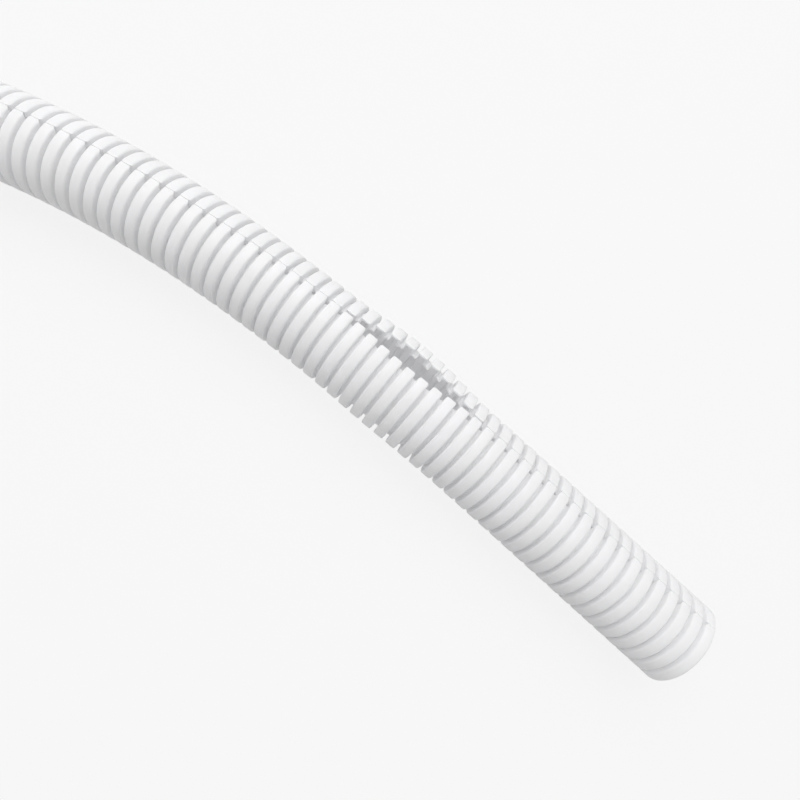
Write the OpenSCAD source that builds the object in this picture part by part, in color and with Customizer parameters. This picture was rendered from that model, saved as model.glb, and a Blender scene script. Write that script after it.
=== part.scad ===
// Split corrugated conduit: a thin-walled plastic tube of square-topped
// crests and narrow grooves, slit along its whole length so that cables
// can be laid in from the side. One end run is straight, then the tube
// bends in the plane of the floor and carries on straight. Part of the
// slit is sprung open on the outside of the bend.
//
// Frame: the origin is the centre of the free end's opening, +X points out
// of that opening, +Z is up, and the tube lies on a floor at z = -od / 2.

/* [Tube] */
// Outside diameter over the crests
od = 25; // [20:0.5:32]
// Depth of the grooves, from crest to root
groove_depth = 2.1; // [1.6:0.1:2.6]
// Thickness of the moulded wall
wall = 0.5; // [0.4:0.05:0.7]
// Distance from one crest to the next
pitch = 4.25; // [4:0.05:5]
// Width of each crest along the tube
crest_w = 3.1; // [2.8:0.05:3.4]
// Radius of the crests' outer corners
crest_round = 0.6; // [0.4:0.1:0.9]
// Nominal length of the piece, as it is sold
stock_length = 1000; // [600:50:1200]

/* [Slit] */
// Width of the slit where it is closed
slit_w = 0.4; // [0.3:0.05:0.8]
// Angle of the slit from straight up, at the free end
slit_tilt_free = 44; // [30:1:50]
// Angle of the slit from straight up, past the bend
slit_tilt_far = 22; // [15:1:30]

/* [Sprung opening] */
// Angle that the slit opens by where it is widest
gape_angle = 26; // [0:1:30]
// Distance of the widest place from the free end
gape_middle = 104; // [98:1:112]
// Distance from the widest place to where the slit has closed again
gape_reach = 26; // [24:1:34]

/* [Bend] */
// Corrugations in the straight run at the free end
end_crests = 13; // [10:1:14]
// Length over which the bend tightens
ease_length = 150; // [120:5:180]
// Radius of the tightest bend, to the middle of the tube
bend_radius = 320; // [280:5:500]
// Corrugations in the bent stretch
bent_crests = 47; // [44:1:50]

/* [Hidden] */

// Facets round the tube; every revolve here is a true surface of revolution
round_fn = 96;
// Straight pieces that stand for each rounded corner, in the free end's
// stretch and in the long plain rest
fine_steps = 2;
plain_steps = 1;

outer_r = od / 2;
root_r = outer_r - groove_depth;
bore_r = root_r - wall;
// The radius that keeps its developed length when the ring is sprung open
neutral_r = (outer_r + bore_r) / 2;
groove_w = pitch - crest_w;
// Inside corners of a moulded wall follow the outside ones
inner_round = crest_round / 2;
// A groove's root is a ring that ends halfway through the crests' side walls
root_w = groove_w + wall;
// Clearances that keep the surfaces of joined rings from lying in each other:
// a root's bore over a straight run's, a crest's feet over a root's bore, and
// how much further a root's slit is cut back than a crest's
root_clearance = 0.04;
foot_clearance = 0.2;
root_cut_back = 1.2;

// Whole corrugations: the first bent crest, the first of the straight rest
// beyond the bend, and all of them
first_bent = round(end_crests);
first_rest = first_bent + round(bent_crests);
crest_count = floor(stock_length / pitch);
rest_crests = crest_count - first_rest;
closed_angle = slit_w / outer_r * 180 / PI;

// Distances along the tube from the free end, where the first crest starts.
// The bend eases in beside the straight run's last crest.
bend_start = (first_bent - 1) * pitch;
bend_end = first_rest * pitch;
function half_pitches(k) = k * pitch / 2 - groove_w / 2;

// Degrees turned at a distance s: none, then easing in, then a plain arc
function turned(s) =
    let (past = min(s, bend_end) - bend_start,
         eased = min(max(past, 0), ease_length),
         even = max(past - ease_length, 0))
    (eased * eased / (2 * ease_length) + even) / bend_radius * 180 / PI;

// Angle of the slit from straight up, at a distance s
function slit_tilt(s) =
    let (share = (min(max(s, bend_start), bend_end) - bend_start) / (bend_end - bend_start))
    slit_tilt_free + (slit_tilt_far - slit_tilt_free) * share;

// Angle of the gap in the ring at a distance s, closed or sprung open
function gap_angle(s) =
    let (off = min(abs(s - gape_middle) / gape_reach, 1))
    closed_angle + gape_angle * pow(cos(90 * off), 2);

// Growth of a sprung ring's radius, at its constant developed length
function swell(s) = neutral_r * ((360 - closed_angle) / (360 - gap_angle(s)) - 1);

// The tube's middle line: points half a pitch apart, from half a groove
// before the free end, each step at the heading halfway along it
half_steps = 2 * (first_rest + 1);
middle_line = [for (k = 0, x = groove_w / 2, y = 0;
    k <= half_steps;
    heading = turned(half_pitches(k + 0.5)),
    x = x - pitch / 2 * cos(heading),
    y = y - pitch / 2 * sin(heading),
    k = k + 1) [x, y]];

// Points of an arc from angle a0 to a1
function corner(x, y, r, a0, a1, steps) =
    [for (j = [0:steps])
        let (a = a0 + (a1 - a0) * j / steps)
        [x + r * cos(a), y + r * sin(a)]];

// Outside of one crest as [radius, place along the axis], centred on mid
function crest_outside(mid, grow, steps) =
    let (h = crest_w / 2, r = outer_r + grow - crest_round)
    concat(corner(r, mid - h + crest_round, crest_round, -90, 0, steps),
           corner(r, mid + h - crest_round, crest_round, 0, 90, steps));

// Hollow inside of one crest, walked back the other way
function crest_inside(mid, grow) =
    let (h = crest_w / 2 - wall, r = outer_r - wall + grow)
    [[r - inner_round, mid + h], [r, mid + h - inner_round],
     [r, mid - h + inner_round], [r - inner_round, mid - h]];

// Cross-section of a single crest with its two side walls
function crest_section(grow) =
    let (h = crest_w / 2, foot = bore_r + root_clearance + foot_clearance + grow)
    concat([[foot, -h]], crest_outside(0, grow, fine_steps),
           [[foot, h], [foot, h - wall]], crest_inside(0, grow),
           [[foot, wall - h]]);

// Cross-section of a straight run of crests, from side wall to side wall
function run_section(crests, steps) =
    let (h = crest_w / 2, last = (crests - 1) * pitch)
    concat([[bore_r, -h]],
        [for (i = [0:crests - 1]) each concat(
            i == 0 ? [] : [[root_r, i * pitch - h]],
            crest_outside(i * pitch, 0, steps),
            i == crests - 1 ? [] : [[root_r, i * pitch + h]])],
        [[bore_r, last + h]],
        [for (i = [crests - 1:-1:0]) each concat(
            [[bore_r, i * pitch + h - wall]],
            crest_inside(i * pitch, 0),
            [[bore_r, i * pitch - h + wall]])]);

// Sweeps a section round the tube's axis, leaving the slit open
module slit_ring(gap, tilt) {
    rotate([0, 0, tilt + gap / 2])
        rotate_extrude(angle = 360 - gap, $fn = round_fn)
            children();
}

// Sets a ring on the middle line at its point k. The ring's axis becomes the
// tube's, its own X turns up, and a sprung ring keeps its bottom on the floor
// while its lips spread.
module on_line(k) {
    s = half_pitches(k);
    grow = swell(s);
    translate([middle_line[k][0], middle_line[k][1], 0])
        rotate([0, 0, turned(s)])
            translate([0, grow * sin(slit_tilt(s)), grow])
                rotate([0, -90, 0])
                    children();
}

// One crest of the bent stretch
module crest_ring(i) {
    s = half_pitches(2 * i + 1);
    on_line(2 * i + 1)
        slit_ring(gap_angle(s), slit_tilt(s))
            polygon(crest_section(swell(s)));
}

// The groove's root before crest i, with its ends inside both side walls. It
// flares from one crest's swell to the next one's.
module root_ring(i) {
    s = half_pitches(2 * i);
    inside = bore_r + root_clearance;
    before = swell(s - pitch / 2);
    after = swell(s + pitch / 2);
    on_line(2 * i)
        slit_ring(gap_angle(s) + root_cut_back, slit_tilt(s))
            polygon([[inside + before, -root_w / 2], [root_r + before, -root_w / 2],
                     [root_r + after, root_w / 2], [inside + after, root_w / 2]]);
}

// A straight run of crests that starts with crest i
module straight_run(i, crests, steps) {
    s = half_pitches(2 * i + 1);
    on_line(2 * i + 1)
        slit_ring(closed_angle, slit_tilt(s))
            polygon(run_section(crests, steps));
}

// The whole tube is one moulding
module conduit() {
    color("white")
        union() {
            straight_run(0, first_bent, fine_steps);
            for (i = [first_bent:first_rest - 1])
                crest_ring(i);
            for (i = [first_bent:first_rest])
                root_ring(i);
            straight_run(first_rest, rest_crests, plain_steps);
        }
}

conduit();
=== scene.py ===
"""Split corrugated conduit: the moulding, its plastic, the floor, the light and the camera."""
import math

import bmesh
import bpy
from mathutils import Matrix, Vector


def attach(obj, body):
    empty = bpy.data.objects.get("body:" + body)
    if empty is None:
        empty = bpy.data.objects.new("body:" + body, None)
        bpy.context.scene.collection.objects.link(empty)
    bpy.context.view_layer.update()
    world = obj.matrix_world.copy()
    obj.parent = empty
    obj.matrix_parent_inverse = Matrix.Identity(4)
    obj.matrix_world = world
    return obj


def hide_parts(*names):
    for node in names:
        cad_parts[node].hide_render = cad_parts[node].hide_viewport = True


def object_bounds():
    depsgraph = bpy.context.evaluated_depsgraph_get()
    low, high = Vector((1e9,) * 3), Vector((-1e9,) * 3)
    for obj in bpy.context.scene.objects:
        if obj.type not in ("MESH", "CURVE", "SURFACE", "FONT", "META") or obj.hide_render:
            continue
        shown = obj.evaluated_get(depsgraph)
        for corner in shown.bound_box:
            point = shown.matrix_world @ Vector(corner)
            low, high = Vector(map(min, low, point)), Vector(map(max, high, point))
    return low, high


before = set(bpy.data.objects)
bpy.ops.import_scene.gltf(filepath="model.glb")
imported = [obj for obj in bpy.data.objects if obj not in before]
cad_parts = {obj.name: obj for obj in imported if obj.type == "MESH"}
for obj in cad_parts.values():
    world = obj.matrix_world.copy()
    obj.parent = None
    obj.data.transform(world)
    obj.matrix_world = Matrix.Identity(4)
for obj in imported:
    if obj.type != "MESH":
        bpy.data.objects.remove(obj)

cad_low, cad_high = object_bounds()

MM = 0.001

# --- The tube's own sizes, as in the part's source -------------------------------
OUTER_R = 12.5 * MM
GROOVE_DEPTH = 2.1 * MM
WALL = 0.5 * MM
PITCH = 4.25 * MM
CREST_W = 3.1 * MM
STOCK_LENGTH = 1000 * MM
SLIT_TILT_FREE = math.radians(44)
SLIT_TILT_FAR = math.radians(22)
GAPE_ANGLE = math.radians(26)
GAPE_MIDDLE = 104 * MM
GAPE_REACH = 26 * MM
END_CRESTS = 13
BENT_CRESTS = 47
EASE_LENGTH = 150 * MM
BEND_RADIUS = 320 * MM

# The cut edges all but meet where the slit is closed
SEEN_SLIT_W = 0.12 * MM

ROOT_R = OUTER_R - GROOVE_DEPTH
BORE_R = ROOT_R - WALL
NEUTRAL_R = (OUTER_R + BORE_R) / 2
GROOVE_W = PITCH - CREST_W
CREST_COUNT = int(STOCK_LENGTH / PITCH)
FINE_CRESTS = END_CRESTS + BENT_CRESTS
BEND_START = (END_CRESTS - 1) * PITCH
BEND_END = FINE_CRESTS * PITCH
CLOSED_ANGLE = SEEN_SLIT_W / OUTER_R
FULL_TURN = 2 * math.pi

# --- What only the finished moulding shows ----------------------------------------
CREST_ROUND = 0.45 * MM
ROOT_ROUND = 0.2 * MM
# Corners of each crest's lips, rounded where the slit was cut
LIP_ROUND = 0.7 * MM
# Edges that turn by more than this stay sharp to the light
SHARP_EDGE = math.radians(50)


def turned(s):
    """Angle the tube has turned by at a distance s from the free end."""
    past = min(s, BEND_END) - BEND_START
    eased = min(max(past, 0), EASE_LENGTH)
    even = max(past - EASE_LENGTH, 0)
    return (eased * eased / (2 * EASE_LENGTH) + even) / BEND_RADIUS


def slit_tilt(s):
    """Angle of the slit from straight up."""
    share = (min(max(s, BEND_START), BEND_END) - BEND_START) / (BEND_END - BEND_START)
    return SLIT_TILT_FREE + (SLIT_TILT_FAR - SLIT_TILT_FREE) * share


def gap_angle(s):
    """Angle of the gap in a ring, closed or sprung open."""
    off = min(abs(s - GAPE_MIDDLE) / GAPE_REACH, 1)
    return CLOSED_ANGLE + GAPE_ANGLE * math.cos(math.pi / 2 * off) ** 2


def swell(s):
    """Growth of a sprung ring's radius at its constant developed length."""
    return NEUTRAL_R * ((FULL_TURN - CLOSED_ANGLE) / (FULL_TURN - gap_angle(s)) - 1)


def half_pitches(k):
    """Distance of the middle line's point k, which may lie between two points."""
    return k * PITCH / 2 - GROOVE_W / 2


def middle_line():
    """Points of the tube's middle half a pitch apart, up to the straight rest."""
    points = [Vector((GROOVE_W / 2, 0, 0))]
    for k in range(2 * FINE_CRESTS + 1):
        heading = turned(half_pitches(k + 0.5))
        step = Vector((math.cos(heading), math.sin(heading), 0)) * (PITCH / 2)
        points.append(points[-1] - step)
    return points


MIDDLE = middle_line()


def on_middle(s):
    """Point of the middle line at a distance s from the free end."""
    place = (s + GROOVE_W / 2) / (PITCH / 2)
    last = len(MIDDLE) - 1
    k = int(min(max(place, 0), last))
    heading = turned(s if k == last else half_pitches(k + 0.5))
    back = Vector((math.cos(heading), math.sin(heading), 0)) * (place - k) * (PITCH / 2)
    return MIDDLE[k] - back


def crest_middle(s):
    """Middle of the crest that a distance s lies nearest to."""
    return math.floor((s + GROOVE_W / 2) / PITCH) * PITCH + CREST_W / 2


def ring_place(s):
    """The distance whose ring size a point at s takes.

    All of a crest takes its middle's. Across a groove the size runs evenly
    from one crest's to the next one's.
    """
    middle = crest_middle(s)
    into_groove = abs(s - middle) - CREST_W / 2
    if into_groove <= 0:
        return middle
    return middle + math.copysign(into_groove, s - middle) * PITCH / GROOVE_W


def lip_cut(s):
    """How far a crest's lip is cut back from the slit, near the crest's sides."""
    into_corner = abs(s - crest_middle(s)) - (CREST_W / 2 - LIP_ROUND)
    if into_corner <= 0:
        return 0.0
    share = min(into_corner / LIP_ROUND, 1.0)
    return LIP_ROUND * (1 - math.sqrt(1 - share * share))


def place_on_tube(point):
    """Where a point of the straight, closed tube lies on the bent, sprung one.

    The straight tube runs along -X from the origin, and its slit faces +Z.
    """
    s = -point.x
    ring = ring_place(s)
    radius = math.hypot(point.y, point.z)
    round_tube = math.atan2(point.y, point.z) % FULL_TURN - CLOSED_ANGLE / 2
    share = min(max(round_tube / (FULL_TURN - CLOSED_ANGLE), 0.0), 1.0)
    gap = gap_angle(ring) + 2 * lip_cut(s) / OUTER_R
    grow = swell(ring)
    tilt = slit_tilt(s)
    angle = tilt + gap / 2 + share * (FULL_TURN - gap)
    radius += grow
    across = radius * math.sin(angle) + grow * math.sin(tilt)
    up = radius * math.cos(angle) + grow
    heading = turned(s)
    side = Vector((-math.sin(heading), math.cos(heading), 0))
    return on_middle(s) + side * across + Vector((0, 0, up))


# --- The section of the wall --------------------------------------------------------
def arc(x, r, radius, start, stop, steps):
    """Points of an arc, each with the direction from its centre."""
    points = []
    for j in range(steps + 1):
        a = math.radians(start + (stop - start) * j / steps)
        out = (math.cos(a), math.sin(a))
        points.append((x + radius * out[0], r + radius * out[1], out))
    return points


def hollow_arc(x, r, radius, start, stop, steps):
    """The same for an arc that is hollow from outside."""
    return [(px, pr, (-n[0], -n[1])) for px, pr, n in arc(x, r, radius, start, stop, steps)]


def crest_outline(i, crest_steps, root_steps, first, last):
    """Outside of crest i as (distance, radius, outward direction)."""
    near = i * PITCH
    far = near + CREST_W
    top = OUTER_R - CREST_ROUND
    foot = ROOT_R + ROOT_ROUND
    points = [(near, BORE_R, (-1, 0))] if first else hollow_arc(
        near - ROOT_ROUND, foot, ROOT_ROUND, -90, 0, root_steps)
    points += arc(near + CREST_ROUND, top, CREST_ROUND, 180, 90, crest_steps)
    points += arc(far - CREST_ROUND, top, CREST_ROUND, 90, 0, crest_steps)
    points += [(far, BORE_R, (1, 0))] if last else hollow_arc(
        far + ROOT_ROUND, foot, ROOT_ROUND, 180, 270, root_steps)
    return points


def wall_outline(first_crest, end_crest, crest_steps, root_steps):
    """Outside of a stretch of the wall. A stretch that meets another ends in mid-groove."""
    points = []
    if first_crest > 0:
        points.append((first_crest * PITCH - GROOVE_W / 2, ROOT_R, (0, 1)))
    for i in range(first_crest, end_crest):
        points += crest_outline(i, crest_steps, root_steps, i == 0, i == CREST_COUNT - 1)
    if end_crest < CREST_COUNT:
        points.append((end_crest * PITCH - GROOVE_W / 2, ROOT_R, (0, 1)))
    return points


def moulding(name, first_crest, end_crest, crest_steps, root_steps, turns):
    """A stretch of the wall, spun from slit face to slit face and laid along the tube."""
    bm = bmesh.new()
    outside = []
    inside = []
    for distance, radius, out in wall_outline(first_crest, end_crest, crest_steps, root_steps):
        outside.append(bm.verts.new((-distance, 0, radius)))
        inner = (distance - WALL * out[0], radius - WALL * out[1])
        inside.append(bm.verts.new((-inner[0], 0, inner[1])))
    for chain in (outside, inside):
        for a, b in zip(chain, chain[1:]):
            bm.edges.new((a, b))
    bmesh.ops.bridge_loops(bm, edges=bm.edges[:])
    # The section starts at one slit face and is spun round to the other
    start = Matrix.Rotation(-CLOSED_ANGLE / 2, 4, "X")
    bmesh.ops.transform(bm, matrix=start, verts=bm.verts)
    bmesh.ops.spin(
        bm, geom=bm.verts[:] + bm.edges[:] + bm.faces[:], cent=(0, 0, 0), axis=(-1, 0, 0),
        angle=FULL_TURN - CLOSED_ANGLE, steps=turns, use_merge=False, use_duplicate=False)
    for vertex in bm.verts:
        vertex.co = place_on_tube(vertex.co)
    bmesh.ops.recalc_face_normals(bm, faces=bm.faces)
    for face in bm.faces:
        face.smooth = True
    for edge in bm.edges:
        if edge.is_manifold and edge.calc_face_angle() > SHARP_EDGE:
            edge.smooth = False
    mesh = bpy.data.meshes.new(name)
    bm.to_mesh(mesh)
    bm.free()
    piece = bpy.data.objects.new(name, mesh)
    bpy.context.scene.collection.objects.link(piece)
    return piece


# --- Materials ------------------------------------------------------------------------
def linear(code):
    """A colour written as sRGB hex, as linear red, green, blue and alpha."""
    values = [int(code[i:i + 2], 16) / 255 for i in (0, 2, 4)]
    return [v / 12.92 if v <= 0.04045 else ((v + 0.055) / 1.055) ** 2.4 for v in values] + [1.0]


def add_node(tree, kind, settings=None, inputs=None):
    """Adds a node. An input is a value, or another node's output to link."""
    node = tree.nodes.new(kind)
    for name, value in (settings or {}).items():
        setattr(node, name, value)
    for name, value in (inputs or {}).items():
        if isinstance(value, bpy.types.NodeSocket):
            tree.links.new(value, node.inputs[name])
        else:
            node.inputs[name].default_value = value
    return node


def new_material(name):
    material = bpy.data.materials.new(name)
    material.use_nodes = True
    material.node_tree.nodes.clear()
    return material, material.node_tree


def white_polypropylene():
    """Blow-moulded white polypropylene: satin, faintly waxy, light glows a little way into it."""
    material, tree = new_material("white_polypropylene_moulded_satin")
    place = add_node(tree, "ShaderNodeTexCoord").outputs["Object"]
    # Cloudy shade from uneven cooling, patches about 12 mm across
    clouds = add_node(tree, "ShaderNodeTexNoise", None, {
        "Vector": place, "Scale": 1 / (12 * MM), "Detail": 3.0, "Roughness": 0.55})
    shade = add_node(tree, "ShaderNodeMix", {"data_type": "RGBA"}, {
        "Factor": clouds.outputs["Fac"], "A": linear("FAFAFA"), "B": linear("FDFDFE")})
    # Satin skin, its gloss varying over about 3 mm
    patches = add_node(tree, "ShaderNodeTexNoise", None, {
        "Vector": place, "Scale": 1 / (3 * MM), "Detail": 2.0, "Roughness": 0.5})
    rough = add_node(tree, "ShaderNodeMapRange", None, {
        "Value": patches.outputs["Fac"], "From Min": 0.3, "From Max": 0.7,
        "To Min": 0.40, "To Max": 0.52})
    # Fine grain of the mould, drawn at 0.6 mm so that it just shows
    grain = add_node(tree, "ShaderNodeTexNoise", None, {
        "Vector": place, "Scale": 1 / (0.6 * MM), "Detail": 3.0, "Roughness": 0.6})
    bump = add_node(tree, "ShaderNodeBump", None, {
        "Height": grain.outputs["Fac"], "Strength": 0.12, "Distance": 0.05 * MM})
    skin = add_node(tree, "ShaderNodeBsdfPrincipled", None, {
        "Base Color": shade.outputs["Result"], "Roughness": rough.outputs["Result"],
        "Normal": bump.outputs["Normal"], "IOR": 1.49,
        "Subsurface Weight": 0.2, "Subsurface Radius": (1.0, 1.0, 1.0),
        "Subsurface Scale": 0.5 * MM})
    # The thin wall lets light through to the hollows
    through = add_node(tree, "ShaderNodeBsdfTranslucent", None, {
        "Color": shade.outputs["Result"], "Normal": bump.outputs["Normal"]})
    wall = add_node(tree, "ShaderNodeMixShader", None, {"Fac": 0.4})
    tree.links.new(skin.outputs["BSDF"], wall.inputs[1])
    tree.links.new(through.outputs["BSDF"], wall.inputs[2])
    add_node(tree, "ShaderNodeOutputMaterial", None, {"Surface": wall.outputs["Shader"]})
    return material


def looked_at(tree):
    """1 for the camera's own rays, and for those of a reflection or a see-through part."""
    ray = add_node(tree, "ShaderNodeLightPath")
    camera_or_glossy = add_node(tree, "ShaderNodeMath", {"operation": "MAXIMUM"}, {
        0: ray.outputs["Is Camera Ray"], 1: ray.outputs["Is Glossy Ray"]})
    any_seen = add_node(tree, "ShaderNodeMath", {"operation": "MAXIMUM"}, {
        0: camera_or_glossy.outputs["Value"], 1: ray.outputs["Is Transmission Ray"]})
    return any_seen.outputs["Value"]


def pale_floor():
    """Matt white sheet. Looked at, it is mostly self-lit, so that it stays white."""
    material, tree = new_material("pale_floor")
    matt = add_node(tree, "ShaderNodeBsdfDiffuse", None, {"Color": linear("D8D8D8")})
    glow = add_node(tree, "ShaderNodeEmission", None, {
        "Color": linear("FDFDFD"), "Strength": 1.0})
    seen = add_node(tree, "ShaderNodeMixShader", None, {"Fac": 0.85})
    tree.links.new(matt.outputs["BSDF"], seen.inputs[1])
    tree.links.new(glow.outputs["Emission"], seen.inputs[2])
    mixed = add_node(tree, "ShaderNodeMixShader", None, {"Fac": looked_at(tree)})
    tree.links.new(matt.outputs["BSDF"], mixed.inputs[1])
    tree.links.new(seen.outputs["Shader"], mixed.inputs[2])
    add_node(tree, "ShaderNodeOutputMaterial", None, {"Surface": mixed.outputs["Shader"]})
    return material


# --- The object -------------------------------------------------------------------------
plastic = white_polypropylene()
stretches = [
    moulding("conduit_bent_end", 0, FINE_CRESTS, crest_steps=3, root_steps=2, turns=46),
    moulding("conduit_straight_rest", FINE_CRESTS, CREST_COUNT,
             crest_steps=2, root_steps=1, turns=26),
]
for piece in stretches:
    piece.data.materials.append(plastic)
    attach(piece, "root")
    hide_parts("conduit")

# --- Floor, light and camera ---------------------------------------------------------------
FLOOR_SIZE = 6.0
floor_mesh = bpy.data.meshes.new("floor")
floor_bm = bmesh.new()
bmesh.ops.create_grid(floor_bm, x_segments=1, y_segments=1, size=FLOOR_SIZE / 2)
bmesh.ops.translate(floor_bm, vec=(0, 0, cad_low.z), verts=floor_bm.verts)
floor_bm.to_mesh(floor_mesh)
floor_bm.free()
floor = bpy.data.objects.new("floor", floor_mesh)
floor.data.materials.append(pale_floor())
bpy.context.scene.collection.objects.link(floor)

# Soft light from all round. Looked at, the studio is about as white as its floor.
world = bpy.data.worlds.new("studio")
bpy.context.scene.world = world
world.use_nodes = True
background = world.node_tree.nodes["Background"]
background.inputs["Color"].default_value = linear("FFFFFF")
strength = add_node(world.node_tree, "ShaderNodeMapRange", None, {
    "Value": looked_at(world.node_tree), "To Min": 0.54, "To Max": 0.95})
world.node_tree.links.new(strength.outputs["Result"], background.inputs["Strength"])

# The camera looks straight down, its picture turned by this much on the floor
PICTURE_TURN = math.radians(42.1)
CAMERA_PLACE = Vector((-0.1008, -0.0019, 0.1644))
# Focal length as a share of the picture's width
FOCAL_SHARE = 0.75
SENSOR_WIDTH = 36


def soft_box(name, target, toward, distance, size, watts):
    """A square soft light that looks at a target from a direction."""
    light = bpy.data.lights.new(name, "AREA")
    light.shape = "SQUARE"
    light.size = size
    light.energy = watts
    lamp = bpy.data.objects.new(name, light)
    back = Vector(toward).normalized()
    lamp.location = target + back * distance
    lamp.rotation_euler = back.to_track_quat("Z", "Y").to_euler()
    bpy.context.scene.collection.objects.link(lamp)


picture_up = Vector((-math.sin(PICTURE_TURN), math.cos(PICTURE_TURN), 0))
picture_right = Vector((math.cos(PICTURE_TURN), math.sin(PICTURE_TURN), 0))
up = Vector((0, 0, 1))
from_upper_right = picture_up * 0.75 + picture_right * 0.2 + up
soft_box("key", on_middle(240 * MM), from_upper_right, distance=1.2, size=1.0, watts=10.5)

camera_data = bpy.data.cameras.new("camera")
camera_data.sensor_width = SENSOR_WIDTH
camera_data.lens = SENSOR_WIDTH * FOCAL_SHARE
camera_data.clip_start = 0.005
camera = bpy.data.objects.new("camera", camera_data)
camera.location = CAMERA_PLACE
camera.rotation_euler = (0, 0, PICTURE_TURN)
bpy.context.scene.collection.objects.link(camera)
bpy.context.scene.camera = camera
# Light bounces many times between the white walls of a groove
bpy.context.scene.cycles.diffuse_bounces = 12
bpy.context.scene.view_settings.view_transform = "Standard"
